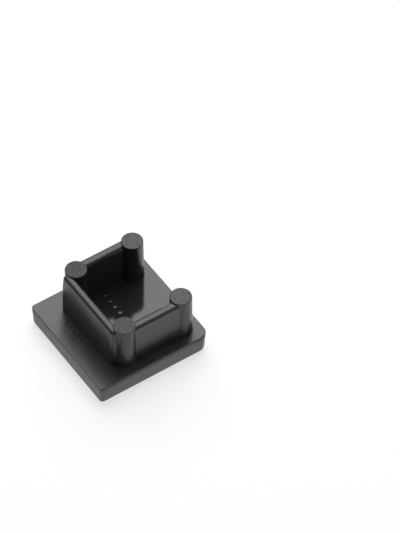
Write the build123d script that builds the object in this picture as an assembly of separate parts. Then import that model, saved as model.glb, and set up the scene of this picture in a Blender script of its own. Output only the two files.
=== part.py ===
from build123d import *
import math
import os

# Push-in end cap for a square framing channel, moulded in one piece.
# Millimetres, +Z up. The origin is the centre of the outer face, which lies in the plane z = 0.
# The plug stands on the inner face of the flange and points along +Z.
# The channel's back is towards +X, its slot with the two turned-in lips is towards -X.

# --- the channel the cap is made for ---
channel_side = 30.0
channel_wall = 2.0
side_clearance = 0.3
back_clearance = 0.1
lip_reach = 5.95

# --- flange, flush with the outside of the channel ---
flange_thickness = 5.5
face_inset = 0.25
face_edge_radius = 0.8
back_corner_radius = 2.25
slot_corner_radius = 1.0
seat_edge_chamfer = 0.12

# --- four corner posts ---
post_top_radius = 2.6
post_base_radius = 2.75
post_height = 11.75
post_tip_chamfer = 0.2

# --- three walls ---
wall_drop = 0.4
wall_draft_deg = 0.5
side_wall_step = 0.55
side_wall_thickness = 1.95
side_wall_edge_radius = 0.85
side_wall_inner_radius = 0.4
slot_wall_thickness = 2.4
slot_wall_proud = 1.25
slot_wall_overrun = 0.7
slot_wall_end_radius = 1.0
slot_wall_edge_radius = 0.5
lead_in_height = 3.2
lead_in_inset = 0.6

# --- groove left where the wide thin gate was trimmed off half of the back edge ---
gate_groove_depth = 0.25
gate_groove_height = 1.7
gate_groove_level = 1.9
gate_groove_margin = 0.8

# --- flare at the foot of the posts and walls ---
foot_flare = 0.12

# --- sizes that follow ---
half_flange = channel_side / 2
plug_half_width = half_flange - channel_wall - side_clearance
wall_height = post_height - wall_drop
draft = math.tan(math.radians(wall_draft_deg))
side_wall_outer_y = plug_half_width - side_wall_step
slot_wall_outer_x = lip_reach - half_flange
post_x_slot = slot_wall_outer_x + slot_wall_proud + post_top_radius
post_x_back = half_flange - channel_wall - back_clearance - post_top_radius
post_y = plug_half_width - post_top_radius
slot_wall_half_length = post_y + slot_wall_overrun
lead_in_level = wall_height - lead_in_height
overlap = 0.5


def upright_edges(part):
    """Edges that run more up than across, from the slot side to the back."""
    return part.edges().filter_by(lambda edge: abs(edge.tangent_at(0).Z) > 0.5).sort_by(Axis.X)


def flange():
    """Thick square plate, drafted towards the outer face: round outer edge, broken inner edge."""
    half_face = half_flange - face_inset
    section = make_face(
        Polyline(
            (-half_face, 0),
            (half_face, 0),
            (half_flange, flange_thickness),
            (-half_flange, flange_thickness),
            close=True,
        )
    )
    lengthwise = extrude(Plane.XZ * section, half_flange, both=True)
    crosswise = extrude(Plane.YZ * section, half_flange, both=True)
    plate = lengthwise & crosswise
    plate = fillet(upright_edges(plate)[:2], slot_corner_radius)
    plate = fillet(upright_edges(plate)[-2:], back_corner_radius)
    plate = chamfer(plate.faces().sort_by(Axis.Z)[-1].edges(), seat_edge_chamfer)
    face_edges = plate.faces().sort_by(Axis.Z)[0].edges()
    return fillet(face_edges, min(face_edge_radius, 0.95 * slot_corner_radius))


def gate_groove():
    """Shallow round-ended groove in the back edge, from half-way along it towards the -Y corner."""
    length = half_flange - back_corner_radius - gate_groove_margin
    outline = SlotOverall(length, gate_groove_height)
    floor_x = half_flange - face_inset - gate_groove_depth
    floor = Plane((floor_x, -length / 2, gate_groove_level), x_dir=(0, 1, 0), z_dir=(1, 0, 0))
    return extrude(floor * outline, gate_groove_depth + 2 * face_inset)


def post():
    """Round drafted post with a flat end, a small chamfer at the tip and a flared foot."""
    slope = (post_base_radius - post_top_radius) / post_height
    section = make_face(
        Polyline(
            (0, -overlap),
            (post_base_radius + foot_flare, -overlap),
            (post_base_radius + foot_flare, 0),
            (post_base_radius - slope * foot_flare, foot_flare),
            (post_top_radius, post_height - post_tip_chamfer),
            (post_top_radius - post_tip_chamfer, post_height),
            (0, post_height),
            close=True,
        )
    )
    return revolve(Plane.XZ * section, Axis.Z)


def side_wall():
    """Wall along +Y between two posts: drafted, with rounded top edges and a flared foot."""
    outer = side_wall_outer_y
    inner = side_wall_outer_y - side_wall_thickness
    outer_foot = outer + draft * wall_height
    inner_foot = inner - draft * wall_height
    section = make_face(
        Polyline(
            (inner_foot - foot_flare, -overlap),
            (outer_foot + foot_flare, -overlap),
            (outer_foot + foot_flare, 0),
            (outer_foot - draft * foot_flare, foot_flare),
            (outer, wall_height),
            (inner, wall_height),
            (inner_foot + draft * foot_flare, foot_flare),
            (inner_foot - foot_flare, 0),
            close=True,
        )
    )
    outer_corner = section.vertices().sort_by_distance((outer, wall_height))[0]
    section = fillet(outer_corner, side_wall_edge_radius)
    inner_corner = section.vertices().sort_by_distance((inner, wall_height))[0]
    section = fillet(inner_corner, side_wall_inner_radius)
    return Pos(post_x_slot, 0, 0) * extrude(Plane.YZ * section, post_x_back - post_x_slot)


def slot_wall_outline(height, outward, inward=0.0):
    """Plan of the slot wall at one height: its outer face and ends moved outward, its inner face inward."""
    outer_x = slot_wall_outer_x - outward
    inner_x = slot_wall_outer_x + slot_wall_thickness + draft * (wall_height - height) + inward
    outline = Rectangle(inner_x - outer_x, 2 * (slot_wall_half_length + outward))
    outline = fillet(outline.vertices().sort_by(Axis.X)[:2], slot_wall_end_radius)
    return Pos((outer_x + inner_x) / 2, 0, height) * outline


def slot_wall():
    """Wall that closes the slot side: a flared foot, a drafted middle and a steeper lead-in at the top."""
    skirt = slot_wall_outline(0, draft * lead_in_level + foot_flare, foot_flare)
    ankle = slot_wall_outline(foot_flare, draft * (lead_in_level - foot_flare))
    shoulder = slot_wall_outline(lead_in_level, 0)
    top = slot_wall_outline(wall_height, -lead_in_inset)
    lead_in = loft([shoulder, top], ruled=True)
    lead_in = fillet(lead_in.faces().sort_by(Axis.Z)[-1].edges(), slot_wall_edge_radius)
    return (
        extrude(skirt, -overlap)
        + loft([skirt, ankle], ruled=True)
        + loft([ankle, shoulder], ruled=True)
        + lead_in
    )


def end_cap():
    """Flange, then the plug of four posts and three walls; the back of the plug stays open."""
    wall = side_wall()
    plug = wall + mirror(wall, Plane.XZ) + slot_wall()
    for x in (post_x_slot, post_x_back):
        for y in (-post_y, post_y):
            plug += Pos(x, y, 0) * post()
    return flange() - gate_groove() + Pos(0, 0, flange_thickness) * plug


os.makedirs("parts", exist_ok=True)
cap = end_cap()
cap.label = "end_cap"
export_step(cap, "parts/end_cap.step")
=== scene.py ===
import math
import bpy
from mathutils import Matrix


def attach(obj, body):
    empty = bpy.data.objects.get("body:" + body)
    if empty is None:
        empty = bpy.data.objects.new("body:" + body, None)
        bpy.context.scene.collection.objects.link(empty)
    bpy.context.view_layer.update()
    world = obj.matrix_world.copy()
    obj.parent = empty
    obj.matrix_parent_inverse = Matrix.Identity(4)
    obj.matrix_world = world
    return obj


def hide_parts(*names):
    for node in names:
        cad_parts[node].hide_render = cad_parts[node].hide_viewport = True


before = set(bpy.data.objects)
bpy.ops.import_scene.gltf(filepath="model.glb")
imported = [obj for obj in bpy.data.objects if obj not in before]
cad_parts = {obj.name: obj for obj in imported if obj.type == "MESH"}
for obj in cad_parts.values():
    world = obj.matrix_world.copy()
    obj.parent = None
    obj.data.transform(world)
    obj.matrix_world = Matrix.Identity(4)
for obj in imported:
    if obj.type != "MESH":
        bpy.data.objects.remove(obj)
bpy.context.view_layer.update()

from types import SimpleNamespace

import bmesh
import bpy
from mathutils import Matrix, Vector

MM = 0.001

# Sizes are in millimetres. The cap lies on its outer face, at z = 0, with the plug upwards.
# The channel's slot, between its two turned-in lips, is towards -X, and its back towards +X.

# --- the channel that the cap closes ---
CHANNEL_SIDE = 30.0
CHANNEL_WALL = 2.0
SIDE_CLEARANCE = 0.3
BACK_CLEARANCE = 0.1
LIP_REACH = 5.95

# --- flange ---
HALF_FLANGE = CHANNEL_SIDE / 2
FLANGE_THICKNESS = 5.5
FACE_INSET = 0.25
FACE_EDGE_RADIUS = 0.8
SEAT_EDGE_RADIUS = 0.18
BACK_CORNER_RADIUS = 2.25
SLOT_CORNER_RADIUS = 1.0

# --- groove of the trimmed gate, from half-way along the back edge to short of its -Y corner ---
GROOVE_MARGIN = 0.8
GROOVE_LENGTH = HALF_FLANGE - BACK_CORNER_RADIUS - GROOVE_MARGIN
GROOVE_HEIGHT = 1.7
GROOVE_LEVEL = 1.9
GROOVE_DEPTH = 0.25
GROOVE_END_RADIUS = 0.48 * GROOVE_HEIGHT  # just short of a half, so that the ends don't close up
GROOVE_TOOL_THICKNESS = 2.0

# --- posts ---
POST_HEIGHT = 11.75
POST_TOP = FLANGE_THICKNESS + POST_HEIGHT
POST_TOP_RADIUS = 2.6
POST_BASE_RADIUS = 2.75
POST_TIP_RADIUS = 0.2
POST_SIDES = 72

# --- walls between the posts ---
WALL_DROP = 0.4
WALL_HEIGHT = POST_HEIGHT - WALL_DROP
WALL_TOP = FLANGE_THICKNESS + WALL_HEIGHT
WALL_DRAFT = math.tan(math.radians(0.5))
SIDE_WALL_STEP = 0.55
SIDE_WALL_THICKNESS = 2.4
SIDE_WALL_EDGE_RADIUS = 0.85
SIDE_WALL_INNER_RADIUS = 1.0
SLOT_WALL_PROUD = 1.25
SLOT_WALL_OVERRUN = 0.7
SLOT_WALL_THICKNESS = 2.4
SLOT_WALL_END_RADIUS = 1.0
SLOT_WALL_EDGE_RADIUS = 0.8
LEAD_IN_HEIGHT = 3.6
LEAD_IN_INSET = 0.32
LEAD_IN_BLEND = 2.4
DRAFT_BELOW_LEAD_IN = 0.8  # share of the slot wall's inner draft

# --- places that follow ---
PLUG_HALF_WIDTH = HALF_FLANGE - CHANNEL_WALL - SIDE_CLEARANCE
SLOT_WALL_OUTER_X = LIP_REACH - HALF_FLANGE
SLOT_POST_X = SLOT_WALL_OUTER_X + SLOT_WALL_PROUD + POST_TOP_RADIUS
BACK_POST_X = HALF_FLANGE - CHANNEL_WALL - BACK_CLEARANCE - POST_TOP_RADIUS
POST_Y = PLUG_HALF_WIDTH - POST_TOP_RADIUS
SIDE_WALL_OUTER_Y = PLUG_HALF_WIDTH - SIDE_WALL_STEP
SLOT_WALL_HALF_LENGTH = POST_Y + SLOT_WALL_OVERRUN

# --- raised marks: a row of round pips inside the plug, a row of short bars on the slot side's margin ---
MARK_HEIGHT = 0.14
MARK_EDGE_RADIUS = 0.08
PIP_RADIUS = 0.55
PIP_SIDES = 32
PIP_X = 1.4
PIP_FIRST_Y = 8.2
PIP_PITCH = -2.1
PIP_COUNT = 5
BAR_LENGTH = 1.3
BAR_WIDTH = 0.5
BAR_CORNER_RADIUS = 0.2
BAR_X = -10.8
BAR_FIRST_Y = 6.2
BAR_PITCH = -1.6
BAR_COUNT = 6

# --- feet: each post and wall is drawn up from a wider sole that ends just under the inner face ---
SOLE_MARGIN = 0.16
SOLE_TOP = FLANGE_THICKNESS - 0.02
FOOT_RADIUS = 0.12
SUNK = 0.4

# --- how points and edges are told apart, and how the mesh is smoothed ---
TOUCH = 0.01
SIDE_TOUCH = 0.05
UPRIGHT_SHARE = 0.6  # of an edge's length, taken by its rise
LEAST_LENGTHWISE = 1.0
HOLLOW_ANGLE = -0.5  # radians between faces, negative in an inner corner
DOUBLES = 0.002
SMOOTH_ANGLE = 32  # degrees


class Socket:
    """A shader socket that takes part in Python arithmetic by adding Math nodes."""

    def __init__(self, graph, socket):
        self.graph = graph
        self.socket = socket

    def _math(self, operation, first, second):
        return self.graph.node("ShaderNodeMath", {"operation": operation}, {0: first, 1: second})[0]

    def __add__(self, other):
        return self._math("ADD", self, other)

    __radd__ = __add__

    def __sub__(self, other):
        return self._math("SUBTRACT", self, other)

    def __rsub__(self, other):
        return self._math("SUBTRACT", other, self)

    def __mul__(self, other):
        return self._math("MULTIPLY", self, other)

    __rmul__ = __mul__

    def __pow__(self, other):
        return self._math("POWER", self, other)

    def __abs__(self):
        return self._math("ABSOLUTE", self, 0)


class Graph:
    """The node tree of a material or a world."""

    def __init__(self, owner):
        owner.use_nodes = True
        self.tree = owner.node_tree
        self.tree.nodes.clear()

    def node(self, kind, settings=None, inputs=None):
        """Adds a node, sets it up, fills or links its sockets, and returns its outputs as sockets."""
        made = self.tree.nodes.new(kind)
        for name, value in (settings or {}).items():
            setattr(made, name, value)
        for name, value in (inputs or {}).items():
            if isinstance(value, Socket):
                self.tree.links.new(value.socket, made.inputs[name])
            else:
                made.inputs[name].default_value = value
        return [Socket(self, output) for output in made.outputs]


# --- modelling ---

def activate(piece):
    """Selects one object alone and makes it the active one."""
    bpy.ops.object.select_all(action="DESELECT")
    piece.select_set(True)
    bpy.context.view_layer.objects.active = piece


def start_edit(piece, kind):
    """Opens an object's mesh with nothing selected."""
    activate(piece)
    bpy.ops.object.mode_set(mode="EDIT")
    bpy.ops.mesh.select_mode(type=kind)
    bpy.ops.mesh.select_all(action="DESELECT")


def pick(piece, kind, test):
    """Selects the elements of one kind that pass a test on their points, given in millimetres."""
    bpy.ops.mesh.select_mode(type=kind)
    bpy.ops.mesh.select_all(action="DESELECT")
    shape = bmesh.from_edit_mesh(piece.data)
    elements = {"VERT": shape.verts, "EDGE": shape.edges, "FACE": shape.faces}[kind]
    for element in elements:
        points = [element.co] if kind == "VERT" else [vert.co for vert in element.verts]
        element.select_set(bool(test([point / MM for point in points])))
    shape.select_flush_mode()
    bmesh.update_edit_mesh(piece.data)


def round_selected(radius, segments):
    """Rounds the selected edges."""
    bpy.ops.mesh.bevel(
        offset_type="OFFSET", offset=radius * MM, segments=segments, affect="EDGES", clamp_overlap=False
    )


def bevel(piece, test, radius, segments):
    """Rounds the edges that pass a test."""
    pick(piece, "EDGE", test)
    round_selected(radius, segments)


def fill_foot(piece):
    """Puts a hollow fillet into the inner corner between the sole and what stands on it."""
    pick(piece, "EDGE", level(SOLE_TOP))
    shape = bmesh.from_edit_mesh(piece.data)
    for edge in shape.edges:
        if edge.select and edge.calc_face_angle_signed(0) > HOLLOW_ANGLE:
            edge.select_set(False)
    shape.select_flush_mode()
    bmesh.update_edit_mesh(piece.data)
    round_selected(FOOT_RADIUS, segments=4)


def shift(piece, test, x=0.0, y=0.0):
    """Moves the points that pass a test."""
    pick(piece, "VERT", test)
    bpy.ops.transform.translate(value=(x * MM, y * MM, 0))


def raise_selected(height):
    """Extrudes the selected faces upwards."""
    bpy.ops.mesh.extrude_region_move(TRANSFORM_OT_translate={"value": (0, 0, height * MM)})


def shorten(factor):
    """Scales what is selected along Y, about the middle of the cap."""
    bpy.ops.transform.resize(value=(1, factor, 1), center_override=(0, 0, 0))


def finish_edit():
    """Goes back from the mesh to the object."""
    bpy.ops.object.mode_set(mode="OBJECT")


def block(name, low, high):
    """Box between two corners, in edit mode, its object at the origin."""
    bpy.ops.object.select_all(action="DESELECT")
    centre = [(a + b) / 2 * MM for a, b in zip(low, high)]
    size = [(b - a) * MM for a, b in zip(low, high)]
    bpy.ops.mesh.primitive_cube_add(size=1, location=centre, scale=size)
    piece = bpy.context.object
    piece.name = name
    bpy.ops.object.transform_apply(location=True, rotation=False, scale=True)
    start_edit(piece, "VERT")
    return piece


def disc(name, x, y, low, high, radius, sides):
    """Round disc between two heights, its object at the origin."""
    bpy.ops.object.select_all(action="DESELECT")
    bpy.ops.mesh.primitive_cylinder_add(
        vertices=sides,
        radius=radius * MM,
        depth=(high - low) * MM,
        location=(x * MM, y * MM, (low + high) / 2 * MM),
    )
    piece = bpy.context.object
    piece.name = name
    bpy.ops.object.transform_apply(location=True, rotation=False, scale=False)
    return piece


def level(z):
    """Test for elements that lie wholly at one height."""
    return lambda points: all(abs(point.z - z) < TOUCH for point in points)


def beside(y):
    """Test for elements that lie wholly along one Y."""
    return lambda points: all(abs(point.y - y) < SIDE_TOUCH for point in points)


def upright(points):
    """Test for edges that run more up than across."""
    if len(points) != 2:
        return False
    run = points[1] - points[0]
    return abs(run.z) > UPRIGHT_SHARE * run.length


def lengthwise(points):
    """Test for edges that run along X."""
    return len(points) == 2 and abs(points[0].x - points[1].x) > LEAST_LENGTHWISE


def model_flange():
    """Thick plate with round corners, narrower at its outer face."""
    side = HALF_FLANGE
    top = FLANGE_THICKNESS
    plate = block("flange", (-side, -side, 0), (side, side, top))
    narrowing = (side - FACE_INSET) / side
    pick(plate, "VERT", level(0))
    bpy.ops.transform.resize(value=(narrowing, narrowing, 1))
    bevel(plate, lambda p: upright(p) and p[0].x < 0, SLOT_CORNER_RADIUS, segments=10)
    bevel(plate, lambda p: upright(p) and p[0].x > 0 and p[1].x > 0, BACK_CORNER_RADIUS, segments=14)
    bevel(plate, level(0), FACE_EDGE_RADIUS, segments=8)
    bevel(plate, level(top), SEAT_EDGE_RADIUS, segments=3)
    finish_edit()
    return plate


def model_groove_tool():
    """Round-ended bar that cuts the gate groove."""
    floor_x = HALF_FLANGE - FACE_INSET - GROOVE_DEPTH
    half = GROOVE_HEIGHT / 2
    tool = block(
        "groove_tool",
        (floor_x, -GROOVE_LENGTH, GROOVE_LEVEL - half),
        (floor_x + GROOVE_TOOL_THICKNESS, 0, GROOVE_LEVEL + half),
    )
    bevel(tool, lengthwise, GROOVE_END_RADIUS, segments=8)
    finish_edit()
    return tool


def raise_from_sole(piece, height):
    """Insets the sole's top face by the sole's margin and draws it up by a height."""
    pick(piece, "FACE", level(SOLE_TOP))
    bpy.ops.mesh.inset(thickness=SOLE_MARGIN * MM)
    raise_selected(height)


def model_post(x, y):
    """Drafted round post with a rounded tip and a hollow fillet at its foot."""
    post = disc("post", x, y, SOLE_TOP - SUNK, SOLE_TOP, POST_BASE_RADIUS + SOLE_MARGIN, POST_SIDES)
    start_edit(post, "FACE")
    raise_from_sole(post, POST_TOP - SOLE_TOP)
    narrowing = POST_TOP_RADIUS / POST_BASE_RADIUS
    bpy.ops.transform.resize(value=(narrowing, narrowing, 1))
    bevel(post, level(POST_TOP), POST_TIP_RADIUS, segments=3)
    fill_foot(post)
    finish_edit()
    return post


def model_side_wall():
    """Wall on the +Y side: drafted, both of its top edges well rounded."""
    spread = WALL_DRAFT * WALL_HEIGHT
    outer = SIDE_WALL_OUTER_Y
    inner = SIDE_WALL_OUTER_Y - SIDE_WALL_THICKNESS
    wall = block(
        "side_wall",
        (SLOT_POST_X - SOLE_MARGIN, inner - spread - SOLE_MARGIN, SOLE_TOP - SUNK),
        (BACK_POST_X + SOLE_MARGIN, outer + spread + SOLE_MARGIN, SOLE_TOP),
    )
    raise_from_sole(wall, WALL_TOP - SOLE_TOP)
    middle = (outer + inner) / 2
    on_top = level(WALL_TOP)
    shift(wall, lambda p: on_top(p) and p[0].y > middle, y=-spread)
    shift(wall, lambda p: on_top(p) and p[0].y < middle, y=spread)
    bevel(wall, lambda p: on_top(p) and beside(outer)(p), SIDE_WALL_EDGE_RADIUS, segments=6)
    bevel(wall, lambda p: on_top(p) and beside(inner)(p), SIDE_WALL_INNER_RADIUS, segments=6)
    fill_foot(wall)
    finish_edit()
    return wall


def model_slot_wall():
    """Wall that closes the slot side: round ends, drafted, drawn in more steeply at the top."""
    shoulder = WALL_TOP - LEAD_IN_HEIGHT
    spread = WALL_DRAFT * (shoulder - SOLE_TOP)
    inner_spread = WALL_DRAFT * WALL_HEIGHT
    outer_x = SLOT_WALL_OUTER_X - spread
    inner_x = SLOT_WALL_OUTER_X + SLOT_WALL_THICKNESS + inner_spread
    half_length = SLOT_WALL_HALF_LENGTH + spread
    middle = (outer_x + inner_x) / 2
    wall = block(
        "slot_wall",
        (outer_x - SOLE_MARGIN, -half_length - SOLE_MARGIN, SOLE_TOP - SUNK),
        (inner_x + SOLE_MARGIN, half_length + SOLE_MARGIN, SOLE_TOP),
    )
    bevel(wall, lambda p: upright(p) and p[0].x < middle, SLOT_WALL_END_RADIUS + SOLE_MARGIN, segments=12)
    raise_from_sole(wall, shoulder - SOLE_TOP)
    shorten(SLOT_WALL_HALF_LENGTH / half_length)
    spread_below = inner_spread * DRAFT_BELOW_LEAD_IN
    shift(wall, lambda p: level(shoulder)(p) and p[0].x < middle, x=spread)
    shift(wall, lambda p: level(shoulder)(p) and p[0].x > middle, x=-spread_below)
    pick(wall, "FACE", level(shoulder))
    raise_selected(LEAD_IN_HEIGHT)
    shorten((SLOT_WALL_HALF_LENGTH - LEAD_IN_INSET) / SLOT_WALL_HALF_LENGTH)
    shift(wall, lambda p: level(WALL_TOP)(p) and p[0].x < middle, x=LEAD_IN_INSET)
    shift(wall, lambda p: level(WALL_TOP)(p) and p[0].x > middle, x=spread_below - inner_spread)
    bevel(wall, level(shoulder), LEAD_IN_BLEND, segments=8)
    bevel(wall, level(WALL_TOP), SLOT_WALL_EDGE_RADIUS, segments=5)
    fill_foot(wall)
    finish_edit()
    return wall


def model_pip():
    """Small round pad, sunk into the flange."""
    top = FLANGE_THICKNESS + MARK_HEIGHT
    pip = disc("pip", PIP_X, PIP_FIRST_Y, FLANGE_THICKNESS - SUNK, top, PIP_RADIUS, PIP_SIDES)
    start_edit(pip, "EDGE")
    bevel(pip, level(top), MARK_EDGE_RADIUS, segments=2)
    finish_edit()
    return pip


def model_bar():
    """Short bar, sunk into the flange."""
    top = FLANGE_THICKNESS + MARK_HEIGHT
    bar = block(
        "bar",
        (BAR_X - BAR_LENGTH / 2, BAR_FIRST_Y - BAR_WIDTH / 2, FLANGE_THICKNESS - SUNK),
        (BAR_X + BAR_LENGTH / 2, BAR_FIRST_Y + BAR_WIDTH / 2, top),
    )
    bevel(bar, upright, BAR_CORNER_RADIUS, segments=4)
    bevel(bar, level(top), MARK_EDGE_RADIUS, segments=2)
    finish_edit()
    return bar


def repeated(piece, count, pitch):
    """One mesh of a piece and its copies along Y, a pitch apart."""
    copies = []
    for number in range(1, count):
        activate(piece)
        bpy.ops.object.duplicate()
        copy = bpy.context.object
        bpy.ops.transform.translate(value=(0, number * pitch * MM, 0))
        bpy.ops.object.transform_apply(location=True, rotation=False, scale=False)
        copies.append(copy)
    activate(piece)
    for copy in copies:
        copy.select_set(True)
    bpy.ops.object.join()
    return piece


def mirrored(piece):
    """Copy on the other side of the XZ plane, with its own mesh."""
    activate(piece)
    bpy.ops.object.duplicate()
    copy = bpy.context.object
    bpy.ops.object.mode_set(mode="EDIT")
    bpy.ops.mesh.select_all(action="SELECT")
    bpy.ops.transform.mirror(constraint_axis=(False, True, False), center_override=(0, 0, 0))
    bpy.ops.mesh.normals_make_consistent(inside=False)
    finish_edit()
    return copy


def combine(piece, tool, operation):
    """Adds a tool to a piece or cuts it out of it, and removes the tool."""
    activate(piece)
    modifier = piece.modifiers.new("combine", "BOOLEAN")
    modifier.operation = operation
    modifier.solver = "EXACT"
    modifier.object = tool
    bpy.ops.object.modifier_apply(modifier=modifier.name)
    bpy.data.objects.remove(tool)


def smooth(piece):
    """Merges doubles, smooths all but the sharp edges and keeps flat faces flat."""
    activate(piece)
    bpy.ops.object.mode_set(mode="EDIT")
    bpy.ops.mesh.select_all(action="SELECT")
    bpy.ops.mesh.remove_doubles(threshold=DOUBLES * MM)
    bpy.ops.mesh.normals_make_consistent(inside=False)
    finish_edit()
    bpy.ops.object.shade_smooth_by_angle(angle=math.radians(SMOOTH_ANGLE))
    weighted = piece.modifiers.new("weighted_normals", "WEIGHTED_NORMAL")
    weighted.keep_sharp = True
    bpy.ops.object.modifier_apply(modifier=weighted.name)


def model_cap():
    """The whole moulding as one mesh."""
    cap = model_flange()
    combine(cap, model_groove_tool(), "DIFFERENCE")
    side_wall = model_side_wall()
    walls = [model_slot_wall(), mirrored(side_wall), side_wall]
    posts = [model_post(x, y) for x in (SLOT_POST_X, BACK_POST_X) for y in (-POST_Y, POST_Y)]
    pips = repeated(model_pip(), PIP_COUNT, PIP_PITCH)
    bars = repeated(model_bar(), BAR_COUNT, BAR_PITCH)
    for part in walls + posts + [pips, bars]:
        combine(cap, part, "UNION")
    smooth(cap)
    cap.name = "end_cap_moulding"
    return cap


# --- where one finish gives way to another, as the start and end of each blend in millimetres ---
OVER_SEAT = (FLANGE_THICKNESS + 0.25, FLANGE_THICKNESS + 0.08)
UNDER_SEAT = (FLANGE_THICKNESS - 0.02, FLANGE_THICKNESS - 0.2)
OUTER_FACE = (0.3, 0.05)
RIMS = (WALL_TOP - 0.15, WALL_TOP - 0.03)
POST_ENDS = (POST_TOP - 0.13, POST_TOP - 0.03)
BETWEEN_SIDE_WALLS = (12, 9)
BEHIND_SLOT_WALL = (-6.9, -6.5)
SLOT_FACE = (-8.1, -8.5)
SLOT_HALF = (1, -1)
WORN_HALF = (1, -1)
# a paler, warmer tint blends in over this distance
PALE_CORNER_BLEND = (3.5, 0.5)  # along both edges together, from the slot side's -Y corner

# --- roughness ---
SATIN = 0.305
POLISHED = 0.1
DULL_RIM = 0.4
GRAINED = 0.42
TURNED = 0.5
WORN = 0.62
SATIN_VARIATION = 0.03
BLOTCH_VARIATION = 0.06
SCUFF_VARIATION = 0.9

# --- colours ---
BLACK = (0.024, 0.024, 0.028, 1)
PALER_BLACK = (0.030, 0.0295, 0.032, 1)
# painted shade: a darker black for the plug's floor between the walls and for the slot wall's outer face
PAINTED_SHADE_BLACK = (0.016, 0.016, 0.019, 1)
# paler, warmer tint towards the slot side's -Y corner
CORNER_TINT = (0.060, 0.053, 0.050, 1)
WEAR = (0.050, 0.044, 0.041, 1)
PALER_BLOTCHES = (0.42, 0.66)  # blends in the pattern's own values
SCUFF_MARKS = (0.35, 0.65)
# share of the painted shade that the slot wall's outer face gets
SLOT_FACE_SHADE_SHARE = 0.6
LIGHT_WEAR = 0.5
FULL_WEAR = 1.0

# --- relief, in millimetres ---
SATIN_RELIEF = 0.003
SCUFF_RELIEF = 0.022
SWELL_RELIEF = 0.16
SEAT_SWELL_RELIEF = 0.03
STREAK_RELIEF = 0.005
STREAK_STRETCH = (1, 1, 0.08)
GRAIN_RELIEF = 0.022
OUTER_GRAIN_RELIEF = 0.04
RING_RELIEF = 0.012
RING_PITCH = 0.5

# --- sunk and crowned faces: how far a normal leans, as a share of its length, and where ---
SINK_IN_PLUG = 0.12
SINK_AT_SLOT = 0.045
SINK_IN_PLUG_BLEND = (5, 1)
SINK_AT_SLOT_BLEND = (-7, -9)
CROWN = 0.05
MORE_CROWN = 0.13
CROWN_FALL = (FLANGE_THICKNESS, 3.6)
MORE_CROWNED_SIDE = (-13.6, -14.6)


# --- finishes ---

def mixed(first, second, share):
    """First value where the share is 0, second where it is 1."""
    return first + (second - first) * share


def ramp(graph, value, blend):
    """Smooth rise from 0 at the start of a blend to 1 at its end; the end may be the lower one."""
    limits = {"Value": value, "From Min": blend[0], "From Max": blend[1]}
    return graph.node("ShaderNodeMapRange", {"interpolation_type": "SMOOTHSTEP"}, limits)[0]


def noise(graph, place, swells, detail):
    """Smooth noise around 0.5 with so many swells to a millimetre."""
    return graph.node("ShaderNodeTexNoise", inputs={"Vector": place, "Scale": swells, "Detail": detail})[0]


def tinted(graph, colour, other, share):
    """One colour turned into another by a share, through the Mix node's colour sockets."""
    return graph.node("ShaderNodeMix", {"data_type": "RGBA"}, {0: share, 6: colour, 7: other})[2]


def drawn_out(graph, place, scale):
    """Coordinates scaled by axis, so that a pattern on them is drawn out."""
    return graph.node("ShaderNodeMapping", inputs={"Vector": place, "Scale": scale})[0]


def finish_zones(graph, x, y, z):
    """Masks from 0 to 1 of the places where the mould had different finishes."""
    low = ramp(graph, z, OVER_SEAT)  # the whole flange
    skirt = ramp(graph, z, UNDER_SEAT)  # the flange without its inner face
    in_plug = ramp(graph, abs(y), BETWEEN_SIDE_WALLS) * ramp(graph, x, BEHIND_SLOT_WALL)
    slot_half = ramp(graph, x, SLOT_HALF)
    return SimpleNamespace(
        low=low,
        skirt=skirt,
        in_plug=in_plug,
        plug_floor=low * in_plug * (1 - skirt),
        slot_face=ramp(graph, x, SLOT_FACE) * (1 - low),
        rims=ramp(graph, z, RIMS),
        post_ends=ramp(graph, z, POST_ENDS),
        outer_face=ramp(graph, z, OUTER_FACE),
        slot_half=slot_half,
        worn=slot_half * ramp(graph, y, WORN_HALF),
    )


def turned_rings(graph, x, y):
    """Rings around the axis of the nearest post, from -1 to 1."""
    aside = abs(x - (SLOT_POST_X + BACK_POST_X) / 2) - (BACK_POST_X - SLOT_POST_X) / 2
    beyond = abs(y) - POST_Y
    from_axis = (aside * aside + beyond * beyond) ** 0.5
    turn = from_axis * (2 * math.pi / RING_PITCH)
    return graph.node("ShaderNodeMath", {"operation": "SINE"}, {0: turn})[0]


def surface_patterns(graph, place, x, y):
    """Patterns of the surface; all but the grain and the rings lie around 0.5."""
    upwards = drawn_out(graph, place, STREAK_STRETCH)
    return SimpleNamespace(
        blotches=noise(graph, place, swells=0.35, detail=3),
        swells=noise(graph, place, swells=0.11, detail=1),
        satin=noise(graph, place, swells=3.4, detail=3),
        scuffs=noise(graph, place, swells=1.8, detail=4),
        streaks=noise(graph, upwards, swells=1.1, detail=2),
        grain=graph.node(
            "ShaderNodeTexVoronoi",
            {"feature": "SMOOTH_F1"},
            {"Vector": place, "Scale": 2.2, "Smoothness": 0.6},
        )[0],
        rings=turned_rings(graph, x, y),
    )


def plastic_roughness(zones, patterns):
    """Satin, polished on the plug's floor and duller on the rims, the sides and the turned post ends."""
    roughness = mixed(SATIN, POLISHED, zones.plug_floor)
    roughness = mixed(roughness, DULL_RIM, zones.rims)
    roughness = mixed(roughness, GRAINED, zones.skirt)
    roughness = mixed(roughness, mixed(TURNED, WORN, zones.slot_half), zones.post_ends)
    roughness = roughness + (patterns.satin - 0.5) * SATIN_VARIATION
    roughness = roughness + (patterns.blotches - 0.5) * BLOTCH_VARIATION
    return roughness + (patterns.scuffs - 0.5) * zones.post_ends * SCUFF_VARIATION


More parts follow.
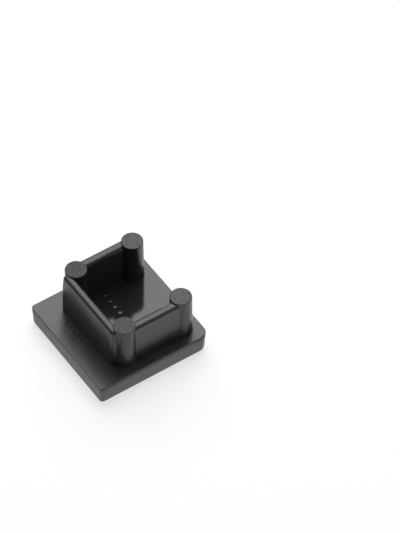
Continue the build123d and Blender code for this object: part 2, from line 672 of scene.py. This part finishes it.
def plastic_colour(graph, x, y, zones, patterns):
    """Black with paler blotches, painted shade on the plug's floor and the slot wall's outer face, a
    paler, warmer corner and worn post ends.
    """
    colour = tinted(graph, BLACK, PALER_BLACK, ramp(graph, patterns.blotches, PALER_BLOTCHES))
    # painted shade: the plug's floor and the slot wall's outer face are darkened in colour
    colour = tinted(graph, colour, PAINTED_SHADE_BLACK, zones.plug_floor + zones.slot_face * SLOT_FACE_SHADE_SHARE)
    # paler and warmer towards the slot side's -Y corner, following the blotches
    corner = ramp(graph, (x + HALF_FLANGE) + (y + HALF_FLANGE), PALE_CORNER_BLEND)
    colour = tinted(graph, colour, CORNER_TINT, corner * patterns.blotches)
    scuffed = zones.post_ends * ramp(graph, patterns.scuffs, SCUFF_MARKS)
    return tinted(graph, colour, WEAR, scuffed * mixed(LIGHT_WEAR, FULL_WEAR, zones.worn))


def plastic_relief(zones, patterns):
    """Fine satin, long swells, streaks on the slot face, grained sides and rings on the post ends."""
    relief = (patterns.satin - 0.5) * mixed(SATIN_RELIEF, SCUFF_RELIEF, zones.post_ends)
    relief = relief + (patterns.swells - 0.5) * mixed(SWELL_RELIEF, SEAT_SWELL_RELIEF, zones.low)
    relief = relief + (patterns.streaks - 0.5) * zones.slot_face * STREAK_RELIEF
    grain_relief = mixed(GRAIN_RELIEF, OUTER_GRAIN_RELIEF, zones.outer_face)
    relief = relief + patterns.grain * grain_relief * zones.skirt
    return relief + patterns.rings * zones.post_ends * RING_RELIEF


def leaning_normal(graph, x, y, z, zones):
    """Normal that leans where the inner face has sunk a little and where the sides came out crowned."""
    sink = ramp(graph, x, SINK_IN_PLUG_BLEND) * zones.in_plug * SINK_IN_PLUG
    sink = mixed(sink, SINK_AT_SLOT, ramp(graph, x, SINK_AT_SLOT_BLEND))
    sunk = zones.low * (1 - zones.skirt) * sink
    fall = ramp(graph, z, CROWN_FALL)
    more = ramp(graph, y, MORE_CROWNED_SIDE) * mixed(MORE_CROWN, -MORE_CROWN, fall)
    crowned = zones.skirt * (mixed(CROWN, 0, fall) + more)
    straight = graph.node("ShaderNodeNewGeometry")[1]  # Normal
    tilt = graph.node("ShaderNodeCombineXYZ", inputs={"X": sunk, "Z": crowned})[0]
    leaning = graph.node("ShaderNodeVectorMath", {"operation": "ADD"}, {0: straight, 1: tilt})[0]
    return graph.node("ShaderNodeVectorMath", {"operation": "NORMALIZE"}, {0: leaning})[0]


def black_plastic():
    """Satin black nylon: polished on the plug's floor, grained on the flange's sides and outer face."""
    material = bpy.data.materials.new("satin_black_plastic")
    graph = Graph(material)
    metres = graph.node("ShaderNodeTexCoord")[3]  # Object coordinates
    place = graph.node("ShaderNodeVectorMath", {"operation": "SCALE"}, {0: metres, "Scale": 1 / MM})[0]
    x, y, z = graph.node("ShaderNodeSeparateXYZ", inputs={"Vector": place})
    zones = finish_zones(graph, x, y, z)
    patterns = surface_patterns(graph, place, x, y)
    bump = {
        "Strength": 1,
        "Distance": MM,
        "Height": plastic_relief(zones, patterns),
        "Normal": leaning_normal(graph, x, y, z, zones),
    }
    plastic = {
        "Base Color": plastic_colour(graph, x, y, zones, patterns),
        "Roughness": plastic_roughness(zones, patterns),
        "Normal": graph.node("ShaderNodeBump", inputs=bump)[0],
    }
    surface = graph.node("ShaderNodeBsdfPrincipled", inputs=plastic)[0]
    graph.node("ShaderNodeOutputMaterial", inputs={"Surface": surface})
    return material


# --- camera: a long lens that looks down at the plug over the slot side's -Y corner ---
CAMERA_TURN = 34.48  # degrees from +Y towards +X
CAMERA_TILT = 49.83
CAMERA_ROLL = 0.38
CAMERA_DISTANCE = 815.41
CENTRE_ACROSS = -0.02288  # where the outer face's centre lies in the view, as shares of the distance
CENTRE_DOWN = 0.01953
SENSOR_WIDTH = 36
FOCAL_LENGTH = 236.4
NEAREST = 0.01  # metres
FARTHEST = 50

# --- light, in metres: one softbox high behind the cap, in a dim room with a darker horizon ---
SOFTBOX_ELEVATION = 60
SOFTBOX_DISTANCE = 1.0
SOFTBOX_WIDTH = 0.95
SOFTBOX_HEIGHT = 1.2
SOFTBOX_RADIANCE = 3.55
ROOM_RADIANCE = 0.29
HORIZON_RADIANCE = 0.06
HORIZON_BLEND = (0.3, 0.55)  # height reached by a direction of length 1
TABLE_SIZE = 20
TABLE_COLOUR = (0.97, 0.97, 0.97, 1)
TABLE_WHITENING = 0.66
WHITE = (1, 1, 1, 1)


# --- studio ---

def camera():
    """Aims the camera and returns its level heading."""
    turn = math.radians(CAMERA_TURN)
    tilt = math.radians(CAMERA_TILT)
    roll = math.radians(CAMERA_ROLL)
    sky = Vector((0, 0, 1))
    right_level = Vector((math.cos(turn), -math.sin(turn), 0))
    ahead_level = Vector((math.sin(turn), math.cos(turn), 0))
    ahead = ahead_level * math.cos(tilt) - sky * math.sin(tilt)
    up_level = ahead_level * math.sin(tilt) + sky * math.cos(tilt)
    right = right_level * math.cos(roll) + up_level * math.sin(roll)
    up = up_level * math.cos(roll) - right_level * math.sin(roll)
    place = -(right * CENTRE_ACROSS - up * CENTRE_DOWN + ahead) * CAMERA_DISTANCE * MM
    data = bpy.data.cameras.new("camera")
    data.sensor_width = SENSOR_WIDTH
    data.lens = FOCAL_LENGTH
    data.clip_start = NEAREST
    data.clip_end = FARTHEST
    made = bpy.data.objects.new("camera", data)
    bpy.context.scene.collection.objects.link(made)
    made.matrix_world = Matrix.Translation(place) @ Matrix((right, up, -ahead)).transposed().to_4x4()
    bpy.context.scene.camera = made
    return ahead_level


def softbox(heading):
    """Area lamp of a plain radiance that faces the cap from above the far end of a heading."""
    elevation = math.radians(SOFTBOX_ELEVATION)
    direction = heading * math.cos(elevation) + Vector((0, 0, 1)) * math.sin(elevation)
    data = bpy.data.lights.new("softbox", "AREA")
    data.shape = "RECTANGLE"
    data.size = SOFTBOX_WIDTH
    data.size_y = SOFTBOX_HEIGHT
    data.energy = math.pi * SOFTBOX_WIDTH * SOFTBOX_HEIGHT * SOFTBOX_RADIANCE
    made = bpy.data.objects.new("softbox", data)
    bpy.context.scene.collection.objects.link(made)
    made.location = direction * SOFTBOX_DISTANCE
    made.rotation_euler = direction.to_track_quat("Z", "Y").to_euler()


def table():
    """White table that stays white to the camera and in reflections, and keeps a part of its shadow."""
    bpy.ops.object.select_all(action="DESELECT")
    bpy.ops.mesh.primitive_plane_add(size=TABLE_SIZE, location=(0, 0, 0))
    plane = bpy.context.object
    plane.name = "floor"
    material = bpy.data.materials.new("white_table")
    graph = Graph(material)
    path = graph.node("ShaderNodeLightPath")
    camera_ray, glossy_ray, transmission_ray = path[0], path[3], path[6]
    whitened = camera_ray * TABLE_WHITENING + glossy_ray + transmission_ray
    diffuse = graph.node("ShaderNodeBsdfDiffuse", inputs={"Color": TABLE_COLOUR})[0]
    white = graph.node("ShaderNodeEmission", inputs={"Strength": 1})[0]
    surface = graph.node("ShaderNodeMixShader", inputs={0: whitened, 1: diffuse, 2: white})[0]
    graph.node("ShaderNodeOutputMaterial", inputs={"Surface": surface})
    plane.data.materials.append(material)


def room():
    """Dim grey room, darker towards the horizon, that the camera sees as white."""
    made = bpy.data.worlds.new("studio")
    bpy.context.scene.world = made
    graph = Graph(made)
    camera_ray = graph.node("ShaderNodeLightPath")[0]
    direction = graph.node("ShaderNodeTexCoord")[0]  # Generated: for a world, the direction looked in
    height = graph.node("ShaderNodeSeparateXYZ", inputs={"Vector": direction})[2]
    radiance = mixed(HORIZON_RADIANCE, ROOM_RADIANCE, ramp(graph, height, HORIZON_BLEND))
    dim = graph.node("ShaderNodeBackground", inputs={"Color": WHITE, "Strength": radiance})[0]
    white = graph.node("ShaderNodeBackground", inputs={"Color": WHITE, "Strength": 1})[0]
    seen = graph.node("ShaderNodeMixShader", inputs={0: camera_ray, 1: dim, 2: white})[0]
    graph.node("ShaderNodeOutputWorld", inputs={"Surface": seen})


bpy.context.scene.view_settings.view_transform = "Standard"
heading = camera()
table()
room()
softbox(heading)
cap = model_cap()
cap.data.materials.append(black_plastic())
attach(cap, "root")
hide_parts("end_cap")
